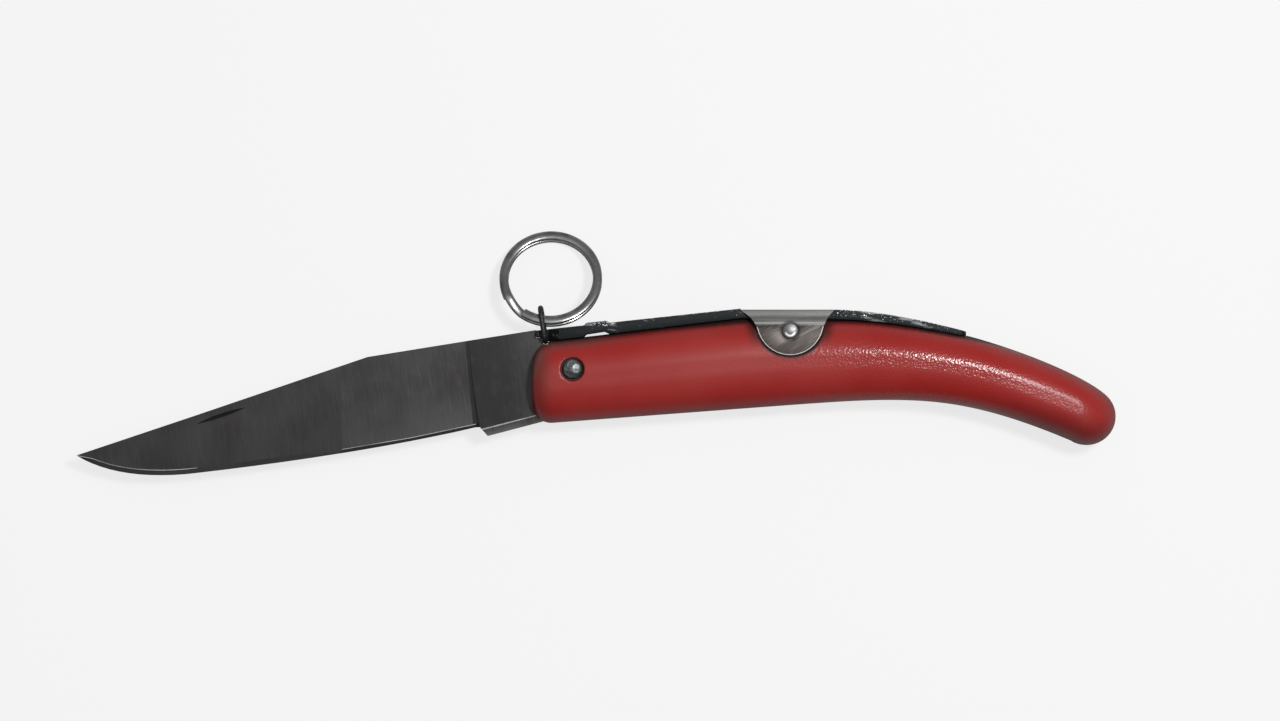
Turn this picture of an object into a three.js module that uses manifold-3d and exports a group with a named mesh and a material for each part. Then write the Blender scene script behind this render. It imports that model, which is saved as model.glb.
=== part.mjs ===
// A folding knife with a ring-pull back-spring lock, open and lying on its side.
// Millimetres. The pivot pin is the origin while the pieces are made: X runs from the
// tip to the butt, Y from the belly to the back, and Z across the thickness.

import * as THREE from 'three';
import { mergeVertices } from 'three/addons/utils/BufferGeometryUtils.js';
import Module from 'manifold-3d';

const wasm = await Module();
wasm.setup();

const degree = Math.PI / 180;

// Running clearances
const fitGap = 0.3;
const seatGap = 0.15;
const saddleGap = 0.15;
const slotRoofGap = 1;

// Handle
const handleThickness = 15;
const ovalOverhang = 0.2;
const ovalPower = 2.2;
const handleFront = -8.8;
const frontRound = 4.5;
const crownFrontY = 5.9;
const bellyFrontY = -12.3;
const bellyBendX = 42.7;
const bellyBendY = -8.45;
const buttX = 111.1;
const buttY = -10.25;
const buttRadius = 6.35;
const backMeetAngle = 48 * degree;
const bellyMeetAngle = 67 * degree;
const bedDepth = 0.4;
const bedTailDepth = 0.5;
const backLead = 0.4;
const backFall = 0.105;
const backButtLead = 0.15;
const bellyLead = 0.45;
const bellyButtLead = 0.39;
const frontThinning = 0.6;

// Blade
const bladeThickness = 3;
const tipX = -107.35;
const tipY = -18.8;
const clipX = -44.4;
const clipY = 2.6;
const shoulderX = -8.4;
const shoulderY = 8.4;
const choilX = -20.1;
const choilY = -12.56;
const kickX = -18.4;
const kickY = -14.5;
const heelX = -6.06;
const heelY = -11.26;
const bowKnotX = -45.5;
const bowKnotY = -18.35;
const bellyStartX = -81.3;
const bellyStartY = -22.5;
const bellyKnot = 0.64;
const plungeTopX = -22.45;
const plungeBow = 0.5;
const spineThickness = 2.9;
const edgeBevel = 1.1;
const bevelMostShare = 0.4;
const edgeShoulder = 0.6;
const edgeThickness = 0.12;
const edgeStep = 0.15;
const kickChamferHeight = 1.7;
const kickChamferDepth = 0.6;
const heelLean = 0.22;
const heelHeight = 1.75;
const tangRadius = 6.2;
const tangFrom = -92 * degree;
const tangTo = 138 * degree;
const shelfRoom = 0.1;
const toothRadius = 7.65;
const toothFrom = 78 * degree;
const toothTo = 104 * degree;
const toothFlank = 6 * degree;
const foldAngle = 163 * degree;

// Nail nick, a long groove under the clip, cut by the rim of a thin wheel
const nickX = -76.6;
const nickY = -10.3;
const nickLength = 11.3;
const nickWidth = 1.2;
const nickDepth = 0.4;
const nickLowShare = 0.6;

// Pivot pin
const pinRadius = 1.5;
const pinHeadRadius = 2.05;
const pinHeadHeight = 0.85;
const pinHeadDome = 0.5;
const pinFaceInset = 0.1;
const pinRecessRim = 0.5;

// Lock spring, a leaf along the back
const leafThickness = 2;
const leafWidth = 8;
const leafNoseX = -8;
const leafNoseY = 8.3;
const leafNoseThickness = 1.5;
const leafCrestY = 13.05;
const leafRearY = 12.8;
const leafTailX = 84.9;
const leafTailY = 8.1;
const leafTailThickness = 1;
const leafTailWidth = 6.4;
const tailCorner = 1;
const tailKnot = 0.38;
const neckWidth = 3.8;
const neckFromX = -7.25;
const neckToX = -5.15;
const leafHeadWidth = 5.4;
const windowWidth = 3.8;
const bridgeFromX = 1.9;
const bridgeToX = 8.4;
const longWindow = 10.2;
const bridgeRise = 0.5;
const bridgeLand = 0.5;
const bridgeRamp = 0.6;

// Spring saddle and its rivet
const saddleFrontX = 36.35;
const saddleLength = 19.8;
const saddleTopY = 12.8;
const saddleSheet = 0.42;
const shoulderDrop = 0.35;
const flankDrop = 1.65;
const flankHollow = 0.5;
const flankMeet = 18 * degree;
const flapRadius = 7.2;
const flapDrop = 9.83;
const flapInset = 0.7;
const flapOffset = 0.45;
const bendRadius = 0.75;
const bendSpread = 0.9;
const bendFrom = 1.85;
const bendTo = 3.2;
const bendInset = 0.35;
const rivetRadius = 1.1;
const rivetHeadRadius = 1.73;
const rivetHeadHeight = 0.42;
const rivetHeadDome = 0.3;
const rivetBelowTop = 4.65;

// Link and ring
const linkWire = 1.1;
const linkBaseX = -5.95;
const linkBaseY = 5.9;
const linkHeight = 7.4;
const linkWidth = 8;
const linkLean = 8.3 * degree;
const linkSquareness = 3.5;
const ringDiameter = 22.4;
const ringWireWidth = 2.1;
const ringWireThickness = 0.9;
const ringPitch = 1.4;
const ringX = -4.87;
const ringRise = 0.4;
const ringTilt = 24 * degree;
const ringRestClearance = 0.05;
const ringEndAngle = -125 * degree;
const ringJog = 30 * degree;

// Fineness of the round forms
const holeSegments = 32;
const sectionPoints = 32;
const wireSides = 8;

const halfFlat = handleThickness / 2;
const slotHalf = bladeThickness / 2 + fitGap;
const far = 200;

const finishes = {
  plastic: { color: 0x96302b, roughness: 0.42, metalness: 0 },
  bladeSteel: { color: 0x4b4b4c, roughness: 0.38, metalness: 0.9 },
  blackSteel: { color: 0x2b2e2f, roughness: 0.5, metalness: 0.8 },
  brightSteel: { color: 0xa9a8a2, roughness: 0.28, metalness: 0.95 },
};

// Solids

function toSolid(geometry) {
  geometry.deleteAttribute('normal');
  geometry.deleteAttribute('uv');
  const merged = mergeVertices(geometry);
  return new wasm.Manifold(new wasm.Mesh({
    numProp: 3,
    vertProperties: new Float32Array(merged.attributes.position.array),
    triVerts: new Uint32Array(merged.index.array),
  }));
}

function toGeometry(solid) {
  const { vertProperties, triVerts } = solid.getMesh();
  const geometry = new THREE.BufferGeometry();
  geometry.setAttribute('position', new THREE.BufferAttribute(vertProperties, 3));
  geometry.setIndex(new THREE.BufferAttribute(triVerts, 1));
  return geometry;
}

function cut(solid, ...tools) {
  return tools.reduce((rest, tool) => rest.subtract(tool), solid);
}

// A side profile in X and Y, made thick between two heights in Z.
function profilePlate(shape, low, high, curveSegments = 12) {
  const options = { depth: high - low, bevelEnabled: false, curveSegments };
  return toSolid(new THREE.ExtrudeGeometry(shape, options).translate(0, 0, low));
}

// A top profile in X and Z, made thick between two heights in Y.
function planPlate(shape, low, high, curveSegments = 12) {
  const options = { depth: high - low, bevelEnabled: false, curveSegments };
  const geometry = new THREE.ExtrudeGeometry(shape, options);
  return toSolid(geometry.rotateX(Math.PI / 2).translate(0, high, 0));
}

function box(fromX, toX, fromY, toY, fromZ, toZ) {
  const geometry = new THREE.BoxGeometry(toX - fromX, toY - fromY, toZ - fromZ);
  return toSolid(geometry.translate((fromX + toX) / 2, (fromY + toY) / 2, (fromZ + toZ) / 2));
}

// A round bar, stepped or domed: its outline is given as radius and height above the middle.
function turnedAcross(x, y, profile) {
  const geometry = new THREE.LatheGeometry(profile, holeSegments);
  return toSolid(geometry.rotateX(Math.PI / 2).translate(x, y, 0));
}

function bore(x, y, radius, low = -far, high = far) {
  const profile = [[0, low], [radius, low], [radius, high], [0, high]];
  return turnedAcross(x, y, profile.map(([r, z]) => new THREE.Vector2(r, z)));
}

// A skin over sections of equal count, closed by a flat cap at each end.
// Each section runs the way that makes the caps face out.
function loft(sections) {
  const count = sections[0].length;
  const positions = sections.flat().flatMap((point) => [point.x, point.y, point.z]);
  const index = [];
  for (let row = 0; row < sections.length - 1; row += 1) {
    for (let i = 0; i < count; i += 1) {
      const a = row * count + i;
      const b = row * count + (i + 1) % count;
      index.push(a, a + count, b, b, a + count, b + count);
    }
  }
  const last = (sections.length - 1) * count;
  for (let i = 1; i < count - 1; i += 1) {
    index.push(0, i, i + 1);
    index.push(last, last + i + 1, last + i);
  }
  const geometry = new THREE.BufferGeometry();
  geometry.setAttribute('position', new THREE.Float32BufferAttribute(positions, 3));
  geometry.setIndex(index);
  return geometry;
}

// The height of a curve at a given X, where X only grows along the curve.
function heightAt(curve, x) {
  let low = 0;
  let high = 1;
  for (let i = 0; i < 40; i += 1) {
    const middle = (low + high) / 2;
    if (curve.getPoint(middle).x < x) low = middle;
    else high = middle;
  }
  return curve.getPoint(low).y;
}

function vector(x, y) {
  return new THREE.Vector2(x, y);
}

function turned(point, angle) {
  return point.clone().rotateAround(vector(0, 0), angle);
}

// The leaf's line: straight up to the saddle, then falling, and sunk under the saddle's sheet

const leafTopY = saddleTopY - saddleSheet - saddleGap;
const saddleRearX = saddleFrontX + saddleLength;

function leafFrontY(x) {
  return lineY(x, vector(leafNoseX, leafNoseY), vector(saddleFrontX, leafCrestY));
}

function tailCurve(drop, endDrop) {
  const span = leafTailX - saddleRearX;
  return new THREE.QuadraticBezierCurve(
    vector(saddleRearX, leafRearY - drop),
    vector(saddleRearX + span * tailKnot, leafRearY - drop),
    vector(leafTailX, leafTailY - endDrop),
  );
}

function seatY(x) {
  const drop = leafThickness + seatGap;
  if (x < saddleFrontX) return leafFrontY(x) - drop;
  if (x < saddleRearX) {
    return lineY(x, vector(saddleFrontX, leafCrestY), vector(saddleRearX, leafRearY)) - drop;
  }
  return heightAt(tailCurve(drop, leafTailThickness + seatGap), x);
}

// Handle

function buttPoint(angle) {
  return vector(buttX + buttRadius * Math.cos(angle), buttY + buttRadius * Math.sin(angle));
}

function buttHalf(x) {
  return Math.sqrt(Math.max(0, buttRadius ** 2 - (x - buttX) ** 2));
}

const backMeet = buttPoint(backMeetAngle);
const bellyMeet = buttPoint(bellyMeetAngle + Math.PI);

// Both curves run into the round butt along its tangent.
function backCurve() {
  const start = vector(leafTailX, seatY(leafTailX) + bedTailDepth);
  const span = backMeet.x - start.x;
  const slope = 1 / Math.tan(backMeetAngle);
  return new THREE.CubicBezierCurve(
    start,
    vector(start.x + span * backLead, start.y - span * backFall),
    vector(backMeet.x - span * backButtLead, backMeet.y + span * backButtLead * slope),
    backMeet,
  );
}

function bellyCurve() {
  const start = vector(bellyBendX, bellyBendY);
  const span = bellyMeet.x - start.x;
  const frontSlope = (bellyBendY - bellyFrontY) / (bellyBendX - handleFront);
  const slope = 1 / Math.tan(bellyMeetAngle);
  return new THREE.CubicBezierCurve(
    start,
    vector(start.x + span * bellyLead, start.y + span * bellyLead * frontSlope),
    vector(bellyMeet.x - span * bellyButtLead, bellyMeet.y + span * bellyButtLead * slope),
    bellyMeet,
  );
}

function handleTopY(x) {
  const saddleFloor = vector(saddleFrontX, seatY(saddleFrontX) + bedDepth);
  if (x < saddleFrontX) return lineY(x, vector(handleFront, crownFrontY), saddleFloor);
  if (x < leafTailX) {
    const along = Math.max(0, (x - saddleRearX) / (leafTailX - saddleRearX));
    return seatY(x) + bedDepth + (bedTailDepth - bedDepth) * along;
  }
  if (x < backMeet.x) return heightAt(backCurve(), x);
  return buttY + buttHalf(x);
}

function handleBottomY(x) {
  if (x < bellyBendX) {
    const along = (x - handleFront) / (bellyBendX - handleFront);
    return bellyFrontY + (bellyBendY - bellyFrontY) * along;
  }
  if (x < bellyMeet.x) return heightAt(bellyCurve(), x);
  return buttY - buttHalf(x);
}

// How much a section draws in at the rounded front end.
function frontDrawIn(x) {
  const along = Math.min(1, (x - handleFront) / frontRound);
  return frontRound * (1 - Math.sqrt(1 - (1 - along) ** 2));
}

function handleHalfThickness(x) {
  const full = halfFlat + ovalOverhang;
  const roundFrom = buttX - buttRadius / 2;
  const along = Math.max(0, (x - roundFrom) / (buttX + buttRadius - roundFrom));
  return full * Math.sqrt(1 - along ** 2) - frontDrawIn(x) * frontThinning;
}

function handleSection(x) {
  const drawIn = frontDrawIn(x);
  const middle = (handleTopY(x) + handleBottomY(x)) / 2;
  const halfHeight = (handleTopY(x) - handleBottomY(x)) / 2 - drawIn;
  const halfThickness = handleHalfThickness(x);
  const round = (value) => Math.sign(value) * Math.abs(value) ** (2 / ovalPower);
  return Array.from({ length: sectionPoints }, (_, i) => {
    const angle = 2 * Math.PI * (i + 0.5) / sectionPoints;
    const y = middle + halfHeight * round(Math.cos(angle));
    return new THREE.Vector3(x, y, -halfThickness * round(Math.sin(angle)));
  });
}

function handleStations() {
  const rounds = 6;
  const runs = 22;
  const ends = 9;
  const endFrom = -30 * degree;
  const endTo = 87 * degree;
  const from = handleFront + frontRound;
  const stations = [];
  for (let i = 0; i < rounds; i += 1) {
    stations.push(handleFront + frontRound * (1 - Math.cos(i / rounds * Math.PI / 2)));
  }
  for (let i = 0; i < runs; i += 1) {
    stations.push(from + (buttX - buttRadius / 2 - from) * i / runs);
  }
  for (let i = 0; i <= ends; i += 1) {
    const angle = endFrom + (endTo - endFrom) * i / ends;
    stations.push(buttX + buttRadius * Math.sin(angle));
  }
  return stations;
}

// The slot runs out through the belly and the front. Behind the kick it has a roof that
// follows the folded edge, and it ends in an arc about the pivot.
function slotShape() {
  const edge = [...bowCurve().getPoints(8).reverse(), ...bellyEdge().getPoints(12).slice(1)];
  const roof = edge.map((point) => turned(point, foldAngle));
  const sweep = Math.hypot(tipX, tipY) + fitGap * 2;
  const kickSweep = Math.hypot(kickX, kickY) + fitGap * 2;
  const shape = new THREE.Shape();
  shape.moveTo(handleFront - frontRound, -far);
  shape.lineTo(handleFront - frontRound, far);
  shape.lineTo(kickSweep, far);
  shape.lineTo(kickSweep, lineY(kickSweep, roof[0], roof[1]) + slotRoofGap);
  roof.filter((point) => point.x > kickSweep)
    .forEach((point) => shape.lineTo(point.x, point.y + slotRoofGap));
  const tipAngle = turned(tip, foldAngle).angle() - 2 * Math.PI;
  const end = turned(vector(sweep, 0), tipAngle);
  shape.lineTo(end.x, end.y + slotRoofGap);
  shape.absarc(0, 0, sweep, tipAngle, tipAngle - 4 * degree, true);
  shape.lineTo(sweep, -far);
  return shape;
}

function leafBed() {
  const halfBed = leafWidth / 2 + fitGap;
  const shape = new THREE.Shape();
  const ends = leafTailX + fitGap;
  shape.moveTo(handleFront - frontRound, seatY(handleFront - frontRound));
  shape.lineTo(saddleFrontX, seatY(saddleFrontX));
  shape.lineTo(saddleRearX, seatY(saddleRearX));
  tailCurve(leafThickness + seatGap, leafTailThickness + seatGap)
    .getPoints(10).slice(1).forEach((point) => shape.lineTo(point.x, point.y));
  shape.lineTo(ends, seatY(leafTailX));
  shape.lineTo(ends, far);
  shape.lineTo(handleFront - frontRound, far);
  return profilePlate(shape, -halfBed, halfBed);
}

// A step down at the very front of the bed, where the link passes under the leaf and sways.
function linkStep() {
  const half = (linkWidth + linkWire) / 2 + fitGap;
  const rear = linkBaseX + linkWire / 2 + fitGap;
  const floor = linkBaseY - linkWire / 2 - fitGap;
  return box(handleFront - frontRound, rear, floor, far, -half, half);
}

const flapOuterZ = halfFlat - flapInset;
const pocketFloorZ = flapOuterZ - saddleSheet - fitGap;
const flapMiddleX = saddleFrontX + saddleLength / 2 + flapOffset;
const flapCentreY = saddleTopY - flapDrop + flapRadius;
const rivetY = saddleTopY - rivetBelowTop;

function makeHandle() {
  const blank = toSolid(loft(handleStations().map(handleSection)));
  const flats = box(-far, far, -far, far, -halfFlat, halfFlat);
  const pocket = saddleSide(fitGap);
  const pinRecess = pinHeadRadius + pinRecessRim;
  const pinFloor = halfFlat - pinFaceInset - pinHeadHeight - fitGap;
  return cut(
    blank.intersect(flats),
    profilePlate(slotShape(), -slotHalf, slotHalf),
    leafBed(),
    linkStep(),
    profilePlate(pocket, pocketFloorZ, far),
    profilePlate(pocket, -far, -pocketFloorZ),
    bore(0, 0, pinRadius + fitGap),
    bore(0, 0, pinRecess, pinFloor, far),
    bore(0, 0, pinRecess, -far, -pinFloor),
    bore(flapMiddleX, rivetY, rivetRadius + fitGap),
  );
}

// Blade

function lineY(x, from, to) {
  return from.y + (to.y - from.y) * (x - from.x) / (to.x - from.x);
}

const tip = vector(tipX, tipY);
const clip = vector(clipX, clipY);
const edgeStart = vector(choilX, choilY + edgeStep);
const bellyStart = vector(bellyStartX, bellyStartY);
const spineY = (x) => lineY(x, clip, vector(shoulderX, shoulderY));
const bowKnot = vector(bowKnotX, bowKnotY);

// The edge bows a little from the belly back to the ricasso.
function bowCurve() {
  return new THREE.QuadraticBezierCurve(bellyStart, bowKnot, edgeStart);
}

// The belly runs on from the bow along its tangent and rises to the tip.
function bellyEdge() {
  const knotX = bellyStartX + (tipX - bellyStartX) * bellyKnot;
  const knot = vector(knotX, lineY(knotX, bowKnot, bellyStart));
  return new THREE.QuadraticBezierCurve(bellyStart, knot, tip);
}

const edgeLineY = (x) => heightAt(bowCurve(), x);

// Half the thickness of the flat-ground blade, at a width above its edge.
function groundHalf(width) {
  const fullWidth = clipY - edgeLineY(clipX);
  const share = THREE.MathUtils.clamp((width - edgeBevel) / (fullWidth - edgeBevel), 0, 1);
  return (edgeShoulder + (spineThickness - edgeShoulder) * share) / 2;
}

// One section of the ground blade, round its bevel shoulders, edge and spine.
function groundSection(spine, edge) {
  const width = spine.distanceTo(edge);
  const shoulder = edge.clone().lerp(spine, Math.min(edgeBevel / width, bevelMostShare));
  const spineHalf = groundHalf(width);
  const shoulderHalf = edgeShoulder / 2;
  const edgeHalf = edgeThickness / 2;
  const corner = (point, z) => new THREE.Vector3(point.x, point.y, z);
  return [
    corner(shoulder, shoulderHalf), corner(edge, edgeHalf), corner(edge, -edgeHalf),
    corner(shoulder, -shoulderHalf), corner(spine, -spineHalf), corner(spine, spineHalf),
  ];
}

// The ground blade, from under the ricasso to the tip.
function groundBlade() {
  const rootX = plungeTopX + 6;
  const bluntTip = 0.15;
  const rootSteps = 6;
  const clipSteps = 6;
  const steps = 12;
  const sections = [];
  for (let i = 0; i < rootSteps; i += 1) {
    const x = rootX + (clipX - rootX) * i / rootSteps;
    sections.push(groundSection(vector(x, spineY(x)), vector(x, edgeLineY(x))));
  }
  for (let i = 0; i < clipSteps; i += 1) {
    const x = clipX + (bellyStartX - clipX) * i / clipSteps;
    sections.push(groundSection(vector(x, lineY(x, clip, tip)), vector(x, edgeLineY(x))));
  }
  for (let i = 0; i <= steps; i += 1) {
    const edge = bellyEdge().getPoint(i / steps);
    const spine = vector(edge.x, lineY(edge.x, clip, tip) + bluntTip * i / steps);
    sections.push(groundSection(spine, edge));
  }
  return toSolid(loft(sections));
}

// Ricasso, kick and tang in one flat plate. The tang's tooth stands in the leaf's window, and
// a step in the shoulder leaves room for the link and for the head of the leaf over it.
function tangShape() {
  const shelfX = linkBaseX - linkWire / 2 - fitGap - shelfRoom;
  const shelfY = leafNoseY - leafNoseThickness - fitGap;
  const notchFloor = linkBaseY - linkWire / 2 - 2 * fitGap;
  const shape = new THREE.Shape();
  shape.moveTo(plungeTopX, spineY(plungeTopX));
  const bowY = (shoulderY + choilY) / 2;
  shape.quadraticCurveTo(plungeTopX + plungeBow, bowY, choilX, choilY);
  shape.lineTo(kickX, kickY);
  shape.lineTo(heelX, heelY);
  shape.lineTo(heelX - heelLean, heelY + heelHeight);
  shape.absarc(0, 0, tangRadius, tangFrom, toothFrom - toothFlank, false);
  shape.absarc(0, 0, toothRadius, toothFrom, toothTo, false);
  shape.absarc(0, 0, tangRadius, toothTo + toothFlank, tangTo, false);
  shape.lineTo(linkBaseX, notchFloor);
  shape.lineTo(shelfX, notchFloor);
  shape.lineTo(shelfX, shelfY);
  shape.lineTo(shoulderX, shelfY);
  shape.lineTo(shoulderX, shoulderY);
  return shape;
}

// A wedge along the kick's lower edge that thins one face of it; side is 1 or -1.
function kickChamfer(side) {
  const half = bladeThickness / 2;
  const overrun = 4;
  const wedge = new THREE.Shape();
  wedge.moveTo(-kickChamferHeight, half - 2 * kickChamferDepth);
  wedge.lineTo(kickChamferHeight, half);
  wedge.lineTo(kickChamferHeight, half + kickChamferHeight);
  wedge.lineTo(-kickChamferHeight, half + kickChamferHeight);
  const along = new THREE.Vector3(heelX - kickX, heelY - kickY, 0);
  const length = along.length() + 2 * overrun;
  along.normalize();
  const up = new THREE.Vector3(-along.y, along.x, 0);
  const out = new THREE.Vector3(0, 0, side);
  const geometry = new THREE.ExtrudeGeometry(wedge, { depth: length, bevelEnabled: false });
  geometry.translate(0, 0, side > 0 ? -overrun : overrun - length);
  const forward = along.clone().multiplyScalar(side);
  geometry.applyMatrix4(new THREE.Matrix4().makeBasis(up, out, forward));
  return toSolid(geometry.translate(kickX, kickY, 0));
}

// The cutting wheel for the nail nick: its axis lies in the blade's plane, across the groove.
function nickWheel() {
  const radius = (nickLength / 2) ** 2 / (2 * nickDepth);
  const low = -nickWidth * nickLowShare;
  const high = nickWidth * (1 - nickLowShare);
  const wheel = new THREE.LatheGeometry([
    vector(0, low), vector(radius + low, low), vector(radius, 0), vector(radius - nickDepth, high),
    vector(0, high),
  ], 160);
  const face = groundHalf(nickY - edgeLineY(nickX));
  const clipAngle = Math.atan2(clipY - tipY, clipX - tipX);
  return toSolid(wheel.rotateZ(clipAngle).translate(nickX, nickY, face - nickDepth + radius));
}

function makeBlade() {
  const half = bladeThickness / 2;
  const plate = profilePlate(tangShape(), -half, half, 16);
  const ricasso = cut(plate, kickChamfer(1), kickChamfer(-1));
  return cut(ricasso.add(groundBlade()), bore(0, 0, pinRadius + fitGap), nickWheel());
}

// Pins

// Half of a headed pin's outline, from its domed face down to the middle, mirrored.
function headedPin(x, y, radius, headRadius, faceZ, headHeight, dome) {
  const rings = 4;
  const half = [vector(0, faceZ)];
  for (let i = 1; i <= rings; i += 1) {
    const along = i / rings;
    half.push(vector(headRadius * along, faceZ - dome * along ** 2));
  }
  half.push(vector(headRadius, faceZ - headHeight));
  half.push(vector(radius, faceZ - headHeight));
  const lower = half.slice().reverse().map((point) => vector(point.x, -point.y));
  return turnedAcross(x, y, [...half, ...lower].reverse());
}

function makePivotPin() {
  const face = halfFlat - pinFaceInset;
  return headedPin(0, 0, pinRadius, pinHeadRadius, face, pinHeadHeight, pinHeadDome);
}

function makeRivet() {
  const face = flapOuterZ + seatGap + rivetHeadHeight;
  const head = [rivetHeadRadius, face, rivetHeadHeight, rivetHeadDome];
  return headedPin(flapMiddleX, rivetY, rivetRadius, ...head);
}

// Lock spring

function leafSide() {
  const shape = new THREE.Shape();
  const ramp = bridgeRamp;
  const from = bridgeFromX + bridgeLand;
  const to = bridgeToX - bridgeLand;
  const bridge = (drop) => [
    vector(from, leafFrontY(from) - drop),
    vector(from + ramp, leafFrontY(from + ramp) - drop + bridgeRise),
    vector(to - ramp, leafFrontY(to - ramp) - drop + bridgeRise),
    vector(to, leafFrontY(to) - drop),
  ];
  const rootX = neckToX + ramp;
  shape.moveTo(leafNoseX, leafNoseY - leafNoseThickness);
  shape.lineTo(neckToX, leafFrontY(neckToX) - leafNoseThickness);
  shape.lineTo(rootX, leafFrontY(rootX) - leafThickness);
  bridge(leafThickness).forEach((point) => shape.lineTo(point.x, point.y));
  shape.lineTo(saddleFrontX, leafCrestY - leafThickness);
  shape.lineTo(saddleRearX, leafRearY - leafThickness);
  const under = tailCurve(leafThickness, leafTailThickness).getPoints(10).slice(1);
  under.forEach((point) => shape.lineTo(point.x, point.y));
  const over = tailCurve(0, 0).getPoints(10).reverse();
  over.forEach((point) => shape.lineTo(point.x, point.y));
  shape.lineTo(saddleFrontX, leafCrestY);
  bridge(0).reverse().forEach((point) => shape.lineTo(point.x, point.y));
  shape.lineTo(leafNoseX, leafNoseY);
  return shape;
}

// Seen from above: a small head, a neck for the link, straight flanks and a tapered tail.
function leafPlan() {
  const half = leafWidth / 2;
  const neck = neckWidth / 2;
  const head = leafHeadWidth / 2;
  const tail = leafTailWidth / 2;
  const side = [
    vector(leafNoseX - 1, head), vector(neckFromX, head), vector(neckFromX, neck),
    vector(neckToX, neck), vector(neckToX + half - neck, half), vector(saddleRearX, half),
    vector(leafTailX - tailCorner, tail), vector(leafTailX + 1, tail - 2 * tailCorner),
  ];
  const shape = new THREE.Shape(side);
  side.slice().reverse().forEach((point) => shape.lineTo(point.x, -point.y));
  return shape;
}

const toothWindowFromX = toothRadius * Math.cos(toothTo) - fitGap;

function makeLockSpring() {
  const half = leafWidth / 2;
  const slot = windowWidth / 2;
  const strip = profilePlate(leafSide(), -half, half);
  const toothWindow = box(toothWindowFromX, bridgeFromX, -far, far, -slot, slot);
  const kickWindow = box(bridgeToX, bridgeToX + longWindow, -far, far, -slot, slot);
  const seatFrom = saddleFrontX - seatGap;
  const saddleSeat = box(seatFrom, saddleRearX + seatGap, leafTopY, far, -far, far);
  const leaf = strip.intersect(planPlate(leafPlan(), -far, far));
  return cut(leaf, toothWindow, kickWindow, saddleSeat);
}

// Saddle

// Its outline from the side: wide over the leaf, hollow flanks, a round flap.
function saddleSide(grow) {
  const radius = flapRadius + grow;
  const left = saddleFrontX - grow;
  const right = saddleRearX + grow;
  const top = saddleTopY + grow + 1;
  const shoulder = saddleTopY - shoulderDrop;
  const flank = saddleTopY - flankDrop;
  const hollow = radius + flankHollow;
  const meetX = radius * Math.cos(flankMeet);
  const meetY = flapCentreY - radius * Math.sin(flankMeet);
  const arcFrom = Math.PI + flankMeet;
  const shape = new THREE.Shape();
  shape.moveTo(left, top);
  shape.lineTo(left, shoulder);
  shape.quadraticCurveTo(flapMiddleX - hollow, flank, flapMiddleX - meetX, meetY);
  shape.absarc(flapMiddleX, flapCentreY, radius, arcFrom, -flankMeet, false);
  shape.quadraticCurveTo(flapMiddleX + hollow, flank, right, shoulder);
  shape.lineTo(right, top);
  return shape;
}

// The bent sheet seen along the knife, as a line in Z and Y from the top down one side.
function saddleBend(inset) {
  const cover = leafWidth / 2 + fitGap + saddleSheet;
  const bottom = saddleTopY - flapDrop - 2;
  const corner = bendRadius - inset;
  const slant = bendInset * inset;
  return [
    vector(cover - inset - corner, saddleTopY - inset),
    vector(cover - inset, saddleTopY - inset - corner),
    vector(cover - inset + bendSpread, saddleTopY - bendFrom - slant),
    vector(flapOuterZ - inset, saddleTopY - bendTo - slant),
    vector(flapOuterZ - inset, bottom),
  ];
}

function makeSaddle() {
  const mirror = (points) => points.map((point) => vector(-point.x, point.y)).reverse();
  const outer = saddleBend(0);
  const inner = saddleBend(saddleSheet);
  const under = [...mirror(inner), ...inner].reverse();
  const section = new THREE.Shape([...mirror(outer), ...outer, ...under]);
  const options = { depth: saddleLength + 4, bevelEnabled: false };
  const geometry = new THREE.ExtrudeGeometry(section, options);
  geometry.rotateY(Math.PI / 2).translate(saddleFrontX - 2, 0, 0);
  const sheet = toSolid(geometry).intersect(profilePlate(saddleSide(0), -far, far, 20));
  return cut(sheet, bore(flapMiddleX, rivetY, rivetRadius + fitGap));
}

// Link and ring

// A wire loop with round corners, upright across the knife.
class LinkLoop extends THREE.Curve {
  getPoint(t, target = new THREE.Vector3()) {
    const angle = 2 * Math.PI * t;
    const round = (value) => Math.sign(value) * Math.abs(value) ** (2 / linkSquareness);
    const y = linkHeight / 2 * (1 + round(Math.sin(angle)));
    return target.set(0, y, linkWidth / 2 * round(Math.cos(angle)));
  }
}

function makeLink() {
  const tube = new THREE.TubeGeometry(new LinkLoop(), 48, linkWire / 2, wireSides, true);
  return toSolid(tube.rotateZ(linkLean).translate(linkBaseX, linkBaseY, 0));
}

const ringRadius = (ringDiameter - ringWireWidth) / 2;
const ringSweep = 4 * Math.PI - ringJog;

// The ring's flattened wire: one level turn, a short step down, and a second level turn.
function ringPoint(angle) {
  const along = (angle - (2 * Math.PI - ringJog)) / ringJog;
  const step = THREE.MathUtils.smoothstep(along, 0, 1);
  return new THREE.Vector3(
    ringRadius * Math.cos(ringEndAngle + angle),
    ringRadius * Math.sin(ringEndAngle + angle),
    ringPitch * (0.5 - step),
  );
}

function ringSection(angle) {
  const centre = ringPoint(angle);
  const outward = new THREE.Vector3(centre.x, centre.y, 0).normalize();
  return Array.from({ length: wireSides }, (_, i) => {
    const turn = 2 * Math.PI * (i + 0.5) / wireSides;
    const point = centre.clone().addScaledVector(outward, ringWireWidth / 2 * Math.cos(turn));
    return point.setZ(centre.z + ringWireThickness / 2 * Math.sin(turn));
  });
}

function ringAngles() {
  const steps = 92;
  return Array.from({ length: steps + 1 }, (_, i) => ringSweep * i / steps);
}

// The least gap of the wire to itself, between points at least a third of a turn apart.
function ringLeastGap() {
  const angles = ringAngles();
  let least = Infinity;
  angles.forEach((one) => angles.forEach((other) => {
    if (other - one < 2 * Math.PI / 3) return;
    const apart = ringPoint(one).distanceTo(ringPoint(other));
    least = Math.min(least, apart - ringWireThickness);
  }));
  return least;
}

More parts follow.
